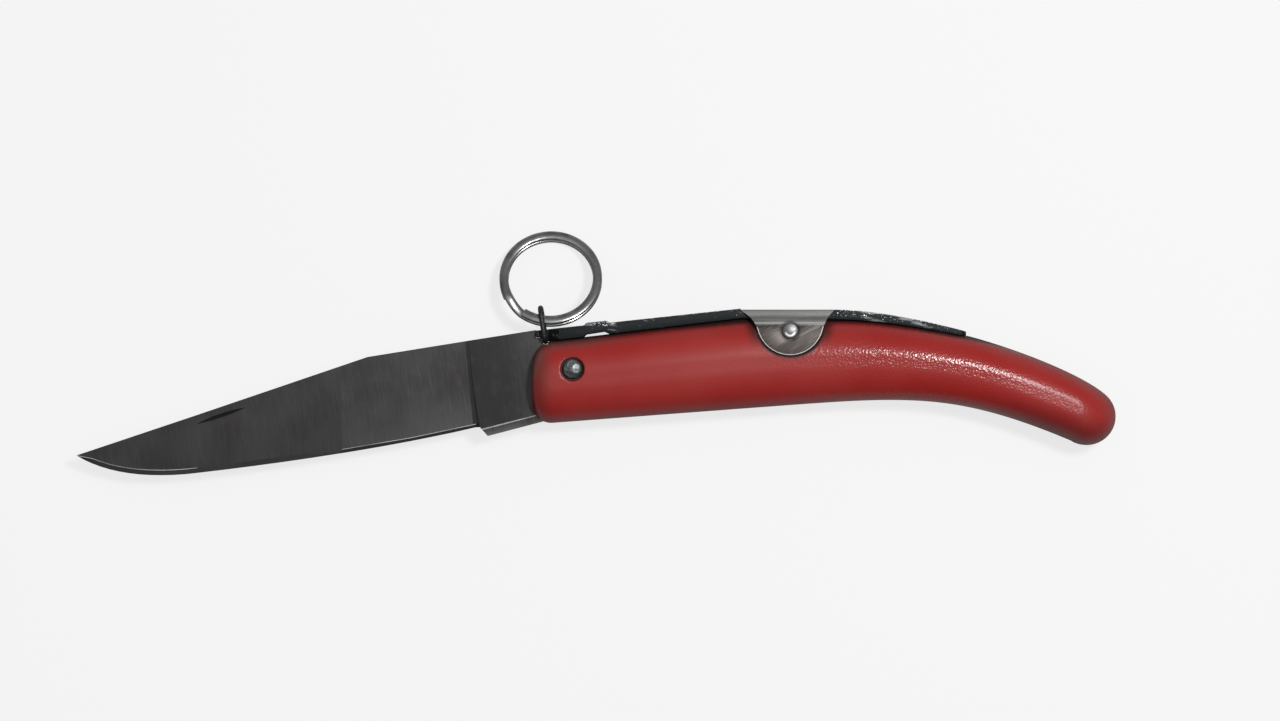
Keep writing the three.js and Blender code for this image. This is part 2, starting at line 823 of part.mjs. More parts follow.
// The ring leans on its far edge: its near edge lies in the link, over the leaf.
function placeRing(mesh) {
  const sine = Math.sin(ringTilt);
  const cosine = Math.cos(ringTilt);
  const wireHeight = Math.hypot(ringWireWidth * sine, ringWireThickness * cosine) / 2;
  const wireReach = Math.hypot(ringWireWidth * cosine, ringWireThickness * sine) / 2;
  const lowest = ringRadius * sine + ringPitch / 2 * cosine + wireHeight;
  const nearTop = ringRadius * cosine + ringPitch / 2 * sine + wireReach;
  mesh.rotation.x = -ringTilt;
  mesh.position.set(
    ringX,
    leafFrontY(ringX) + ringRise + nearTop,
    -halfFlat + ringRestClearance + lowest,
  );
  return mesh;
}

// The knife

function piece(name, finish, geometry) {
  const mesh = new THREE.Mesh(geometry, new THREE.MeshStandardMaterial(finishes[finish]));
  mesh.name = name;
  return mesh;
}

const knife = new THREE.Group();
knife.add(
  piece('handle', 'plastic', toGeometry(makeHandle())),
  piece('blade', 'bladeSteel', toGeometry(makeBlade())),
  piece('pivot_pin', 'brightSteel', toGeometry(makePivotPin())),
  piece('lock_spring', 'blackSteel', toGeometry(makeLockSpring())),
  piece('spring_saddle', 'brightSteel', toGeometry(makeSaddle())),
  piece('saddle_rivet', 'brightSteel', toGeometry(makeRivet())),
  piece('ring_link', 'blackSteel', toGeometry(makeLink())),
  placeRing(piece('pull_ring', 'brightSteel', loft(ringAngles().map(ringSection)))),
);

// The knife stands on the middle of its own box.
const size = new THREE.Box3().setFromObject(knife, true);
const middle = size.getCenter(new THREE.Vector3());
knife.position.set(-middle.x, -middle.y, -size.min.z);
console.log(`least gap of the ring's wire to itself: ${ringLeastGap().toFixed(2)} mm`);

const scene = new THREE.Group();
scene.add(knife);

export default scene;
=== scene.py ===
# %% [markdown]
# A folding knife with a ring-pull lock, lying open on its side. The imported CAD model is
# the fixed frame of this scene: it gives every piece its place, its size and the body that
# it moves with. Blender adds what the CAD solids lack, which is rounded edges, smooth
# curves and finishes. Everything is in metres, and lengths are written in millimetres
# times mm, because a knife is measured in millimetres.

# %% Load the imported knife
import math

import bmesh
import bpy
from mathutils import Matrix, Vector


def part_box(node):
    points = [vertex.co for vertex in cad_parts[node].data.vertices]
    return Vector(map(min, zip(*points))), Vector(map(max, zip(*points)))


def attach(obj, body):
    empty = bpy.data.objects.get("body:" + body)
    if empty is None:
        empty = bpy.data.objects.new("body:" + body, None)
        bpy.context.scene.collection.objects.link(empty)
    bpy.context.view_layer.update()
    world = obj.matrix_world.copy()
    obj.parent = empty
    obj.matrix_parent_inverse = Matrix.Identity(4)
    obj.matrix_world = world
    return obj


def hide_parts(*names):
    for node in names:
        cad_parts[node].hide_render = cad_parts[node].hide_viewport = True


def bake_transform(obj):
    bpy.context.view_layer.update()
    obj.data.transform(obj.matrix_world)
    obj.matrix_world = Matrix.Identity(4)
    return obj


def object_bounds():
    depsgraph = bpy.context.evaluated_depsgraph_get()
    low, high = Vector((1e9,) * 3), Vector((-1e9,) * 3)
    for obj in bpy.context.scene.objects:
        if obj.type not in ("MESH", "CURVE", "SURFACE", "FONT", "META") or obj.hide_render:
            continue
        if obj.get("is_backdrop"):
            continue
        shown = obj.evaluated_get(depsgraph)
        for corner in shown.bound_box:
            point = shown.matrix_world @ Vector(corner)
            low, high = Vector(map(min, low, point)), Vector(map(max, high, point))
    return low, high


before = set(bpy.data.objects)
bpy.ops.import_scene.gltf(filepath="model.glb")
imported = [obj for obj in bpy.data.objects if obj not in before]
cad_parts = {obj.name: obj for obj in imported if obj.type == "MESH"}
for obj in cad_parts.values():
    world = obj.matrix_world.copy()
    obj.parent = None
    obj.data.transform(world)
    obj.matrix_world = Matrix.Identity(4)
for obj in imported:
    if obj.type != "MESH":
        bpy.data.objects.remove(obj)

mm = 0.001
cad_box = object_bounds()
pin_low, pin_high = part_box("pivot_pin")
pivot = (pin_low + pin_high) / 2
print(f"pivot at {pivot.x / mm:.2f}, {pivot.y / mm:.2f}, {pivot.z / mm:.2f} mm")

# %% [markdown]
# The camera looks straight down on the knife. The blade's axle is the pivot of the whole
# drawing, so the view is placed by it: its pixel in the picture and the millimetres that a
# pixel covers settle where the camera stands and how long its lens is.

# %% Camera
picture_width = 1280
picture_height = 721
mm_per_pixel = 0.2165 * mm
pivot_pixel = (573, 369)
camera_height = 700 * mm
sensor_width = 36

aim = pivot + mm_per_pixel * Vector((
    picture_width / 2 - pivot_pixel[0], pivot_pixel[1] - picture_height / 2, 0,
))
camera_data = bpy.data.cameras.new("camera")
camera_data.sensor_fit = "HORIZONTAL"
camera_data.sensor_width = sensor_width
camera_data.lens = sensor_width * camera_height / (picture_width * mm_per_pixel)
camera_data.clip_start = 10 * mm
camera = bpy.data.objects.new("camera", camera_data)
camera.location = aim + Vector((0, 0, camera_height))
bpy.context.scene.collection.objects.link(camera)
bpy.context.scene.camera = camera
bpy.context.scene.view_settings.view_transform = "Standard"
print(f"lens {camera_data.lens:.1f} mm")

# %% [markdown]
# Shader maths reads best as plain sums. One small class wraps a socket of the node tree and
# turns +, -, * and / into Math nodes, and one method adds any other node: its settings are
# set first, then its sockets get a value or a link.

# %% Sums on sockets
class Value:
    """A socket of a node tree. A sum on it adds a Math node and gives the result's socket."""

    def __init__(self, tree, socket):
        self.tree = tree
        self.socket = socket

    def add(self, kind, settings=None, sockets=None, output=0):
        node = self.tree.nodes.new(kind)
        for name, setting in (settings or {}).items():
            if name == "stops":
                set_stops(node.color_ramp, setting)
            else:
                setattr(node, name, setting)
        for name, value in (sockets or {}).items():
            if isinstance(value, Value):
                self.tree.links.new(value.socket, node.inputs[name])
            else:
                node.inputs[name].default_value = value
        return Value(self.tree, node.outputs[output])

    def output(self, name):
        return Value(self.tree, self.socket.node.outputs[name])

    def calc(self, operation, *terms):
        return self.add("ShaderNodeMath", {"operation": operation}, dict(enumerate(terms)))

    def larger(self, other):
        return self.calc("MAXIMUM", self, other)

    def smaller(self, other):
        return self.calc("MINIMUM", self, other)

    def __add__(self, other):
        return self.calc("ADD", self, other)

    def __sub__(self, other):
        return self.calc("SUBTRACT", self, other)

    def __rsub__(self, other):
        return self.calc("SUBTRACT", other, self)

    def __mul__(self, other):
        return self.calc("MULTIPLY", self, other)

    def __truediv__(self, other):
        return self.calc("DIVIDE", self, other)

    __radd__ = __add__
    __rmul__ = __mul__


def set_stops(ramp, stops):
    """Sets a colour ramp from (position, grey level) pairs."""
    for index, (position, level) in enumerate(stops):
        if index < 2:
            element = ramp.elements[index]
        else:
            element = ramp.elements.new(position)
        element.position = position
        element.color = (level, level, level, 1)


# %% [markdown]
# The table is a large pale sheet, and its edge rises into the white of the surroundings.
# What the camera sees of it is mostly the sheet's own white, so the picture's ground stays
# white, and the rest is lit like any surface, so the knife's shadow stays on it. Reflections
# don't see that own white: they see the sheet as it is lit, which is darker.

# %% Table
table_size = 8
table_colour = (0.60, 0.60, 0.60, 1)
table_own_white = 0.76

table_mesh = bpy.data.meshes.new("table")
sheet = bmesh.new()
bmesh.ops.create_grid(sheet, x_segments=1, y_segments=1, size=table_size / 2)
sheet.to_mesh(table_mesh)
sheet.free()
table = bpy.data.objects.new("table", table_mesh)
bpy.context.scene.collection.objects.link(table)
table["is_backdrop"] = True

table_paint = bpy.data.materials.new("table_white")
table_paint.use_nodes = True
tree = table_paint.node_tree
lit = Value(tree, tree.nodes["Principled BSDF"].outputs[0])
lit.socket.node.inputs["Base Color"].default_value = table_colour
lit.socket.node.inputs["Roughness"].default_value = 0.9
rays = lit.add("ShaderNodeLightPath")
share = rays.output("Is Camera Ray") * table_own_white
white = lit.add("ShaderNodeEmission", None, {"Color": (1, 1, 1, 1), "Strength": 1})
sheet_look = lit.add("ShaderNodeMixShader", None, {0: share, 1: lit, 2: white})
tree.links.new(sheet_look.socket, tree.nodes["Material Output"].inputs["Surface"])
table_mesh.materials.append(table_paint)
print(f"table {table_size} m across, {table_own_white:.0%} own white to the camera")

# %% [markdown]
# Metal shows what stands round it, so the surroundings matter as much as the lamp. A pale
# horizon, a darker belt above it and a bright patch overhead give round wire its dark and
# light lines. The side behind the knife's back is brighter than the side in front of its
# belly, and one lamp high over the butt draws the highlight along the plastic.

# %% Surroundings and lamp
back_brighter = 0.65
lamp_place = Vector((235, 150, 640))
lamp_target = Vector((20, 0, 0))
lamp_side = 100 * mm
lamp_watts = 3.5

world = bpy.data.worlds.new("studio")
bpy.context.scene.world = world
world.use_nodes = True
tree = world.node_tree
sky = Value(tree, tree.nodes["Background"].outputs[0])
direction = sky.add("ShaderNodeTexCoord").output("Generated")
height = sky.add("ShaderNodeSeparateXYZ", None, {0: direction}, "Z")
toward_back = sky.add("ShaderNodeSeparateXYZ", None, {0: direction}, "Y")
belt = sky.add("ShaderNodeValToRGB", {"stops": [
    (0.0, 0.45), (1.0, 0.95), (0.30, 0.20), (0.70, 0.24), (0.90, 0.75),
]}, {0: height})
level = belt * (1 + toward_back * back_brighter)
tree.links.new(level.socket, sky.socket.node.inputs["Color"])
sky.socket.node.inputs["Strength"].default_value = 1

lamp_data = bpy.data.lights.new("main_lamp", "AREA")
lamp_data.size = lamp_side
lamp_data.energy = lamp_watts
lamp = bpy.data.objects.new("main_lamp", lamp_data)
lamp.location = pivot + lamp_place * mm
lamp.rotation_euler = (lamp_target - lamp_place).to_track_quat("-Z", "Y").to_euler()
bpy.context.scene.collection.objects.link(lamp)
print(f"the surroundings, and one lamp {lamp_place.length:.0f} mm from the pivot")

# %% [markdown]
# Every finish starts from the same few patterns, read from Object coordinates so that they
# stay on the piece when it moves: grain (noise, which a stretch draws out into brushed
# lines), pits (cells) and bands between two heights. Each pattern is a method on a small
# class that holds one material.

# %% Patterns for finishes
class Finish:
    """One material of the knife: its shader and the patterns that feed it."""

    def __init__(self, name, colour, metallic, roughness):
        self.material = bpy.data.materials.new(name)
        self.material.use_nodes = True
        self.tree = self.material.node_tree
        self.shader = self.tree.nodes["Principled BSDF"]
        self.start = Value(self.tree, self.shader.outputs[0])
        self.place = self.start.add("ShaderNodeTexCoord").output("Object")
        self.shader.inputs["Base Color"].default_value = (*colour, 1)
        self.shader.inputs["Metallic"].default_value = metallic
        self.shader.inputs["Roughness"].default_value = roughness

    def turned(self, stretch=(1, 1, 1), turn=0):
        """Object coordinates about the pivot, turned and then drawn out by a stretch."""
        return self.start.add("ShaderNodeMapping", {"vector_type": "TEXTURE"}, {
            "Vector": self.place, "Location": pivot, "Rotation": (0, 0, turn),
            "Scale": [1 / value for value in stretch],
        })

    def grain(self, per_mm, detail=3, stretch=(1, 1, 1), turn=0):
        """Noise about 0.5, with so many blotches to the millimetre."""
        return self.start.add("ShaderNodeTexNoise", {"noise_dimensions": "3D"}, {
            "Vector": self.turned(stretch, turn), "Scale": per_mm / mm, "Detail": detail,
        })

    def cells(self, per_mm):
        """Distance to the nearest of scattered points, from 0."""
        return self.start.add("ShaderNodeTexVoronoi", {"feature": "F1"}, {
            "Vector": self.turned(), "Scale": per_mm / mm,
        })

    def along(self, axis, turn=0):
        """Millimetres from the pivot along X, Y or Z."""
        return self.start.add(
            "ShaderNodeSeparateXYZ", None, {0: self.turned(turn=turn)}, axis) / mm

    def distance(self, x, y):
        """Millimetres from the line through x, y across the knife's thickness."""
        aside = self.along("X") - x
        up = self.along("Y") - y
        square = aside * aside + up * up
        return square.calc("SQRT", square)

    def band(self, value, low, high):
        """Rises smoothly from 0 at low to 1 at high."""
        return self.start.add("ShaderNodeMapRange", {"interpolation_type": "SMOOTHSTEP"}, {
            "Value": value, "From Min": low, "From Max": high,
        })

    def mix(self, share, one, other):
        """A colour between two colours."""
        return self.start.add("ShaderNodeMix", {"data_type": "RGBA"}, {
            0: share,
            6: one if isinstance(one, Value) else (*one, 1),
            7: other if isinstance(other, Value) else (*other, 1),
        }, output=2)

    def set(self, name, value):
        self.tree.links.new(value.socket, self.shader.inputs[name])

    def bump(self, height, depth_mm, strength=1):
        """Raises the surface by height, which runs from 0 to 1, times a depth."""
        self.set("Normal", self.start.add("ShaderNodeBump", None, {
            "Height": height, "Distance": depth_mm * mm, "Strength": strength,
        }))


# %% [markdown]
# The handle is red moulded plastic. From near it has a fine pebble, which breaks the long
# highlight into sparks behind the saddle and is rubbed smooth in front of it. Painted shade
# darkens it along the spring, round the saddle and round the pin, and more thinly on both
# sides and under the butt. The front end is browner and darker. Each of these is a distance
# from a line or a point of the knife, worked out from Object coordinates.

# %% Red plastic: where the painted shade and the brown sit
bed_front = Vector((36.35, 10.9))
bed_rear = Vector((56.15, 10.65))
bed_tail = Vector((84.9, 6.95))
bed_slope = 0.1071
flap_middle = (46.70, 10.17)
flap_radius = 7.5


def bed_line(x):
    """The bed's height on a socket: a rising front, a level middle and a falling tail."""
    front = x * bed_slope + (bed_front.y - bed_slope * bed_front.x)
    tail = (x - bed_rear.x).larger(0) / (bed_tail.x - bed_rear.x)
    tail = tail * (1.25 - tail * 0.25)
    return front.smaller(bed_front.y) - tail * tail * (bed_rear.y - bed_tail.y)


def painted_shade_share(finish, x, y, under_bed, ragged):
    """Painted shade along the spring, round the saddle's flap and round the pin, from 0 to 1.
    """
    near_saddle = finish.band(x, 20, 40) * (1 - finish.band(x, 50, 58))
    under_bed = under_bed + ragged * 0.6 - near_saddle * 0.35
    along_spring = 1 - finish.band(under_bed, 0.35, 1.35)
    from_flap = finish.distance(*flap_middle)
    round_flap = 1 - finish.band(from_flap + ragged * 0.3, flap_radius, flap_radius + 1)
    flank = 1 - finish.band(from_flap + ragged * 0.4, flap_radius + 0.5, flap_radius + 2.9)
    flank = flank * finish.band(y, 3.5, 8.0)
    round_pin = 1 - finish.band(finish.distance(0, 0) + ragged * 0.2, 2.25, 3.0)
    return along_spring.larger(round_flap).larger(flank * 0.8).larger(round_pin)


def front_brown_share(finish, x, y, under_bed, ragged):
    """Darker, browner colour on the front end and under the nose of the spring, from 0 to 1.
    """
    end = 1 - finish.band(x + y * 0.10 + ragged, -8.6, -3.0)
    corner = (1 - finish.band(under_bed + ragged, 0.8, 3.0)) * (1 - finish.band(x, 2, 15))
    return end.larger(corner * 0.8)


print(f"spring's bed: {bed_front.y:.2f} mm above the pivot, {bed_tail.y:.2f} mm at the tail")

# %% [markdown]
# The shares of painted shade and of brown decide where the red gives way to black and
# brown. The plastic is also duller toward its sides, where the hand polishes it least, and
# darker there and under the butt by painted shade. It is softer in gloss at the butt.

# %% Red plastic: colour, gloss and pebble
red = (0.262, 0.0155, 0.0135)
red_pale = (0.300, 0.030, 0.026)
# a darker red for dirt specks, for painted shade on the sides and under the butt, and for the
# darker front end
red_for_shade_and_dirt = (0.085, 0.011, 0.011)
front_brown = (0.095, 0.046, 0.036)
# near-black for painted shade along the spring, round the saddle and round the pin
painted_shade_black = (0.010, 0.007, 0.007)
plastic_shine = 0.26
pebble_per_mm = 1.9
pebble_depth = 0.035


def red_plastic():
    finish = Finish("red_plastic", red, 0, 0.35)
    finish.shader.inputs["Specular IOR Level"].default_value = plastic_shine
    x, y, z = (finish.along(axis) for axis in "XYZ")
    clouds = finish.band(finish.grain(0.06, 2), 0.35, 0.70)
    specks = finish.band(finish.grain(1.1, 4), 0.58, 0.74)
    ragged = finish.grain(0.9, 4) * 1.4 - 0.7
    under_bed = bed_line(x) - y
    # painted shade where the spring, the saddle and the pin's recess would shade the red
    black = painted_shade_share(finish, x, y, under_bed, ragged)
    # the front end and the red under the spring's nose turn darker and browner
    front_end = front_brown_share(finish, x, y, under_bed, ragged)
    # painted shade on both sides, where the surface turns away from the light
    side = 1 - finish.band(z.calc("ABSOLUTE", z), 1.2, 7.2)
    # painted shade on the lower side of the butt
    low_butt = finish.band(x, 84, 100) * (1 - finish.band(y + x * 0.25, 13.0, 19.0))
    colour = finish.mix(clouds * 0.5, red, red_pale)
    colour = finish.mix(side * 0.74 + specks * 0.10, colour, red_for_shade_and_dirt)
    colour = finish.mix(front_end * 0.45, colour, red_for_shade_and_dirt)
    colour = finish.mix(low_butt * 0.6, colour, red_for_shade_and_dirt)
    colour = finish.mix(front_end * finish.band(y, -9, 5) * 0.85, colour, front_brown)
    # the painted shade takes the red to near-black
    colour = finish.mix(black * 0.93, colour, painted_shade_black)
    finish.set("Base Color", colour)
    pebbled = finish.band(x + y * 0.5, 36, 66)
    butt = finish.band(x, 86, 106)
    scratch = finish.band(finish.grain(0.5, 5, (0.12, 6, 6), 0.2), 0.60, 0.72)
    finish.set(
        "Roughness",
        0.29 - pebbled * 0.11 + butt * 0.14 + side * 0.20 + scratch * 0.06 + black * 0.3)
    pebble = finish.cells(pebble_per_mm) * (0.15 + pebbled * 0.85 - butt * 0.15)
    fine = finish.grain(2.6, 3) * (0.15 + pebbled * 0.55 - butt * 0.10)
    finish.bump(pebble + fine - scratch * 0.06, pebble_depth)
    return finish.material


# %% [markdown]
# The blade is dark steel, ground flat, with faint lines of the grinding belt across it and
# the soft stains that old carbon steel gets. It is lighter in front of the ricasso and
# darker on it. The hone along the edge, the kick, the nail nick and the thin lines of
# painted highlight are the same steel in other tones, so one function makes all five.

# %% Blade steel
blade_turn = 0.16
plunge_lean = 0.091
steel_dark = (0.044, 0.041, 0.042)
steel_mid = (0.062, 0.060, 0.061)
steel_light = (0.100, 0.103, 0.104)
steel_black = (0.026, 0.026, 0.027)
steel_honed = (0.075, 0.075, 0.075)
steel_kick = (0.25, 0.24, 0.24)
# near-white: the thin lines along the hone and the kick are painted highlights
steel_glint = (0.85, 0.85, 0.83)
steel_nick = (0.11, 0.11, 0.11)


def blade_steel(name, base, light, black_ricasso=False):
    """Ground steel that is lighter low in front of the ricasso, and may be black on it."""
    finish = Finish(name, base, 1, 0.36)
    clouds = finish.band(finish.grain(0.07, 3, (1, 1, 0.2)), 0.32, 0.68)
    stains = finish.band(finish.grain(0.28, 5, (1, 1, 0.2)), 0.52, 0.66)
    lines = finish.grain(0.35, 4, (14, 0.5, 1), blade_turn)
    plunge = finish.along("X", plunge_lean)
    ricasso = finish.band(plunge, -22.75, -22.50)
    root = finish.band(plunge, -62, -28) * (1 - ricasso)
    low = 1 - finish.band(finish.along("Y", blade_turn), -14, 2)
    colour = finish.mix(clouds, base, steel_mid)
    colour = finish.mix(root * low * 0.75, colour, light)
    colour = finish.mix(stains * 0.30, colour, steel_dark)
    colour = finish.mix(finish.band(lines, 0.35, 0.75) * 0.22, colour, light)
    if black_ricasso:
        near_handle = finish.band(plunge, -16, -8) * 0.35
        colour = finish.mix(ricasso * (0.85 - near_handle), colour, steel_black)
    finish.set("Base Color", colour)
    finish.set("Roughness", lines * 0.14 + stains * 0.10 + 0.26)
    finish.bump(lines, 0.010, 0.5)
    return finish.material


# %% [markdown]
# The back spring is blackened, and rubbed through in specks, most of all on the bridge
# between its windows and behind the saddle. The link is dark drawn wire and has the same
# kind of surface with fewer specks.

# %% Black steel
def black_steel(name, base, worn, wear=0):
    """Blackened steel with specks and rubs of the worn colour; wear adds more of them."""
    finish = Finish(name, base, 0.9, 0.45)
    x, y = finish.along("X"), finish.along("Y")
    bridge = finish.band(x, 1.5, 3.0) * (1 - finish.band(x, 8.5, 10.5))
    bridge = bridge * finish.band(y, 9.0, 9.5)
    tail_top = finish.band(x, 56.5, 57.5) * (1 - finish.band(x, 60, 88) * 0.6)
    tail_top = tail_top * finish.band(y + (x - 56) * 0.128, 10.9, 11.9)
    handled = bridge.larger(tail_top * 0.6) * 0.14
    specks = finish.band(finish.grain(2.2, 4) + handled, 0.68 - wear, 0.78 - wear)
    rubs = finish.band(
        finish.grain(0.5, 4, (0.4, 1.6, 1.6), -0.1) + handled, 0.60 - wear, 0.74)
    finish.set("Base Color", finish.mix(specks.larger(rubs * 0.5), base, worn))
    finish.set("Roughness", 0.52 - specks * 0.22 + finish.grain(1.2, 3) * 0.10)
    finish.bump(finish.grain(1.6, 4) + specks * 0.5, 0.020, 0.7)
    return finish.material


# %% [markdown]
# The saddle is sheet steel. It is lighter above the fold, with painted highlights along
# its top and along the fold, and its flaps are darker, with painted shade under the fold
# and a painted shadow round the rivet. The rivet's dome is dull, with one crescent painted
# bright as a highlight.

# %% Saddle and rivet steel
rivet_low, rivet_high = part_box("saddle_rivet")
rivet_place = ((rivet_low + rivet_high) / 2 - pivot) / mm
print(f"rivet at {rivet_place.x:.2f}, {rivet_place.y:.2f} mm from the pivot")


def saddle_steel(name, low, high, glint, roughness):
    """Sheet steel: darker flaps, lighter above the fold, painted highlights and painted
    shade.
    """
    finish = Finish(name, low, 1, roughness)
    y = finish.along("Y")
    above = finish.band(y, 9.3, 10.0)
    # painted highlight along the crest
    crest = finish.band(y, 11.0, 11.9) * (1 - finish.band(y, 12.3, 12.7) * 0.8)
    # painted highlight along the fold
    fold = finish.band(y, 9.55, 9.85) * (1 - finish.band(y, 9.95, 10.3))
    # painted shade under the fold
    under_fold = finish.band(y, 7.6, 9.3) * (1 - above)
    streaks = finish.grain(0.22, 4, (0.35, 5, 1))
    brushed = finish.grain(0.9, 4, (0.4, 4, 2), 0.6)
    colour = finish.mix(under_fold * 0.55, low, [value * 0.45 for value in low])
    colour = finish.mix(above, colour, high)
    colour = finish.mix(above * finish.band(streaks, 0.40, 0.62) * 0.55, colour, low)
    colour = finish.mix(crest * 0.45, colour, glint)
    colour = finish.mix(fold * 0.8, colour, glint)
    # painted shadow round the rivet
    from_rivet = finish.distance(rivet_place.x, rivet_place.y)
    shade = finish.band(from_rivet, 1.3, 1.7) * (1 - finish.band(from_rivet, 1.9, 2.5))
    colour = finish.mix(shade * 0.7, colour, [value * 0.15 for value in low])
    colour = finish.mix(finish.band(brushed, 0.45, 0.75) * 0.25, colour, high)
    finish.set("Base Color", colour)
    finish.set("Roughness", roughness + brushed * 0.14 - above * 0.06)
    finish.bump(brushed + streaks * 0.4, 0.005, 0.8)
    return finish.material


def rivet_steel():
    """Dull steel with a crescent on the belly's side of the dome painted bright as a
    highlight.
    """
    finish = Finish("rivet_steel", (0.15, 0.15, 0.15), 1, 0.40)
    from_middle = finish.distance(rivet_place.x, rivet_place.y)
    above = finish.along("Y") - rivet_place.y
    # painted highlight: a bright crescent on the lower side of the dome
    crescent = finish.band(from_middle, 0.70, 0.90)
    crescent = crescent * (1 - finish.band(from_middle, 1.10, 1.32))
    crescent = crescent * (1 - finish.band(above, -0.70, 0.0))
    marks = finish.band(finish.grain(0.9, 4, (0.5, 6, 4), 0.5), 0.50, 0.74)
    colour = finish.mix(marks * 0.5, (0.13, 0.13, 0.13), (0.06, 0.06, 0.06))
    finish.set("Base Color", finish.mix(crescent, colour, (0.95, 0.95, 0.95)))
    finish.set("Roughness", marks * 0.12 + 0.38)
    finish.bump(1 - marks * 0.5, 0.006, 0.6)
    return finish.material


# %% [markdown]
# The pin, the ring and the saddle's cut rim are bright steel that has been handled: fine
# scratches both ways and duller patches; the rim's near-white is a painted highlight. Then
# every finish is made once and kept by name.

# %% Bright steel, and all finishes by name
def bright_steel(name, base, dull, roughness, dirt, dents=0, metallic=1):
    """Handled steel with dull patches, scratches both ways and, on the pin, small dents."""
    scratch_depth = 0.010
    finish = Finish(name, base, metallic, roughness)
    patches = finish.band(finish.grain(0.35, 4), 0.40, 0.70)
    scratch = finish.band(finish.grain(0.5, 4, (0.5, 9, 4), 0.5), 0.60, 0.72)
    cross = finish.band(finish.grain(0.5, 4, (7, 0.5, 4), -0.3), 0.62, 0.74)
    marks = scratch.larger(cross)
    finish.set("Base Color", finish.mix(patches * dirt + marks * 0.2, base, dull))
    finish.set("Roughness", patches * 0.12 + marks * 0.14 + (roughness - 0.06))
    hammered = finish.cells(0.9) * (dents / scratch_depth)
    finish.bump(1 - marks * 0.5 + finish.grain(0.8, 2) * 0.4 + hammered, scratch_depth, 0.7)
    return finish.material


paints = {
    "red": red_plastic(),
    "blade": blade_steel("blade_steel", steel_dark, steel_light, black_ricasso=True),
    "honed": blade_steel("honed_steel", steel_honed, steel_honed),
    "kick": blade_steel("kick_steel", steel_kick, steel_kick),
    "glint": blade_steel("glint_steel", steel_glint, steel_glint),
    "nick": blade_steel("nick_steel", steel_nick, steel_nick),
    "black": black_steel("black_steel", (0.014, 0.016, 0.017), (0.26, 0.27, 0.27)),
    "rubbed": black_steel(
        "rubbed_steel", (0.035, 0.038, 0.038), (0.36, 0.37, 0.37), wear=0.10),
    "saddle": saddle_steel(
        "saddle_steel", low=(0.095, 0.083, 0.077), high=(0.31, 0.305, 0.30),
        glint=(0.72, 0.72, 0.71), roughness=0.44),
    # near-white rim along the saddle's cut edge: a painted highlight
    "rim": bright_steel(
        "rim_steel", (0.95, 0.90, 0.82), (0.60, 0.54, 0.46), roughness=0.30, dirt=0.2,
        metallic=0.3),
    "rivet": rivet_steel(),
    "pin": bright_steel(
        "pin_steel", (0.130, 0.139, 0.139), (0.05, 0.06, 0.06), roughness=0.48, dirt=0.7,
        dents=0.25),
    "ring": bright_steel(
        "ring_steel", (0.27, 0.27, 0.27), (0.07, 0.07, 0.07), roughness=0.30, dirt=0.7),
    "wire": black_steel("dark_wire", (0.035, 0.040, 0.040), (0.28, 0.28, 0.27), wear=0.03),
}
print("finishes:", ", ".join(paints))

# %% [markdown]
# Pieces are made in a bmesh and then turned into an object at the origin, with the place
# in the mesh. Faces that meet at less than a set angle are shaded smooth, and the rest
# keep a crisp edge.

# %% From bmesh to piece
def millimetres(x, y, z=0):
    """A point given from the pivot in millimetres, in the scene's metres."""
    return pivot + Vector((x, y, z)) * mm


def make_piece(form, name, paint_names, smooth_angle=32):
    """A finished piece from a bmesh, with its paints in slot order."""
    mesh = bpy.data.meshes.new(name)
    form.to_mesh(mesh)
    form.free()
    mesh.shade_smooth()
    mesh.set_sharp_from_angle(angle=math.radians(smooth_angle))
    for paint_name in paint_names:
        mesh.materials.append(paints[paint_name])
    piece = bpy.data.objects.new(name, mesh)
    bpy.context.scene.collection.objects.link(piece)
    print(f"{name}: {len(mesh.polygons)} faces")
    return piece


def stand_for(piece, node, body):
    """The piece stands in for a CAD node, which is hidden, and moves with its body if it has
    one.
    """
    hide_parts(node)
    if body:
        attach(piece, body)
    return piece


# %% [markdown]
# Most pieces have the right form in CAD and lack only what a file or a tumbler does to
# metal: rounded edges. So a copy of the CAD mesh is merged into one skin, its flat patches
# are joined, and the edges that are sharper than an angle get a small bevel.

# %% A CAD node with rounded edges
def merged_copy(node):
    """A bmesh of a CAD node with its loose triangles joined and flat patches dissolved."""
    form = bmesh.new()
    form.from_mesh(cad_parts[node].data)
    bmesh.ops.remove_doubles(form, verts=form.verts, dist=0.002 * mm)
    bmesh.ops.dissolve_limit(
        form, angle_limit=math.radians(0.4), verts=form.verts, edges=form.edges,
        use_dissolve_boundaries=False)
    for face in form.faces:
        face.material_index = 0
    return form


def sharp_edges(form, angle, test=None):
    """Edges whose faces meet at more than an angle in degrees, and that pass a test."""
    return [
        edge for edge in form.edges
        if edge.is_manifold
        and abs(edge.calc_face_angle_signed()) > math.radians(angle)
        and (test is None or test(edge))
    ]


def round_over(form, edges, width, segments=2, clamp=True):
    """Bevels edges by a width in millimetres and returns the new faces."""
    result = bmesh.ops.bevel(
        form, geom=edges, offset=width * mm, offset_type="OFFSET", affect="EDGES",
        segments=segments, profile=0.5, clamp_overlap=clamp, material=-1)
    return result["faces"]


def upright_edges(form, x, y):
    """Edges that run across the knife's thickness at x, y."""
    corner = millimetres(x, y).xy
    return [edge for edge in form.edges
            if all((vert.co.xy - corner).length < 0.03 * mm for vert in edge.verts)]


def move_points(form, pairs):
    """Moves vertices that stand at an old x, y to a new x, y, across the whole thickness."""
    moved = 0
    for vert in form.verts:
        at = (vert.co - pivot) / mm
        for old, new in pairs:
            if (at.xy - Vector(old)).length < 0.05:
                vert.co = millimetres(*new, at.z)
                moved += 1
    print(f"points moved: {moved}")


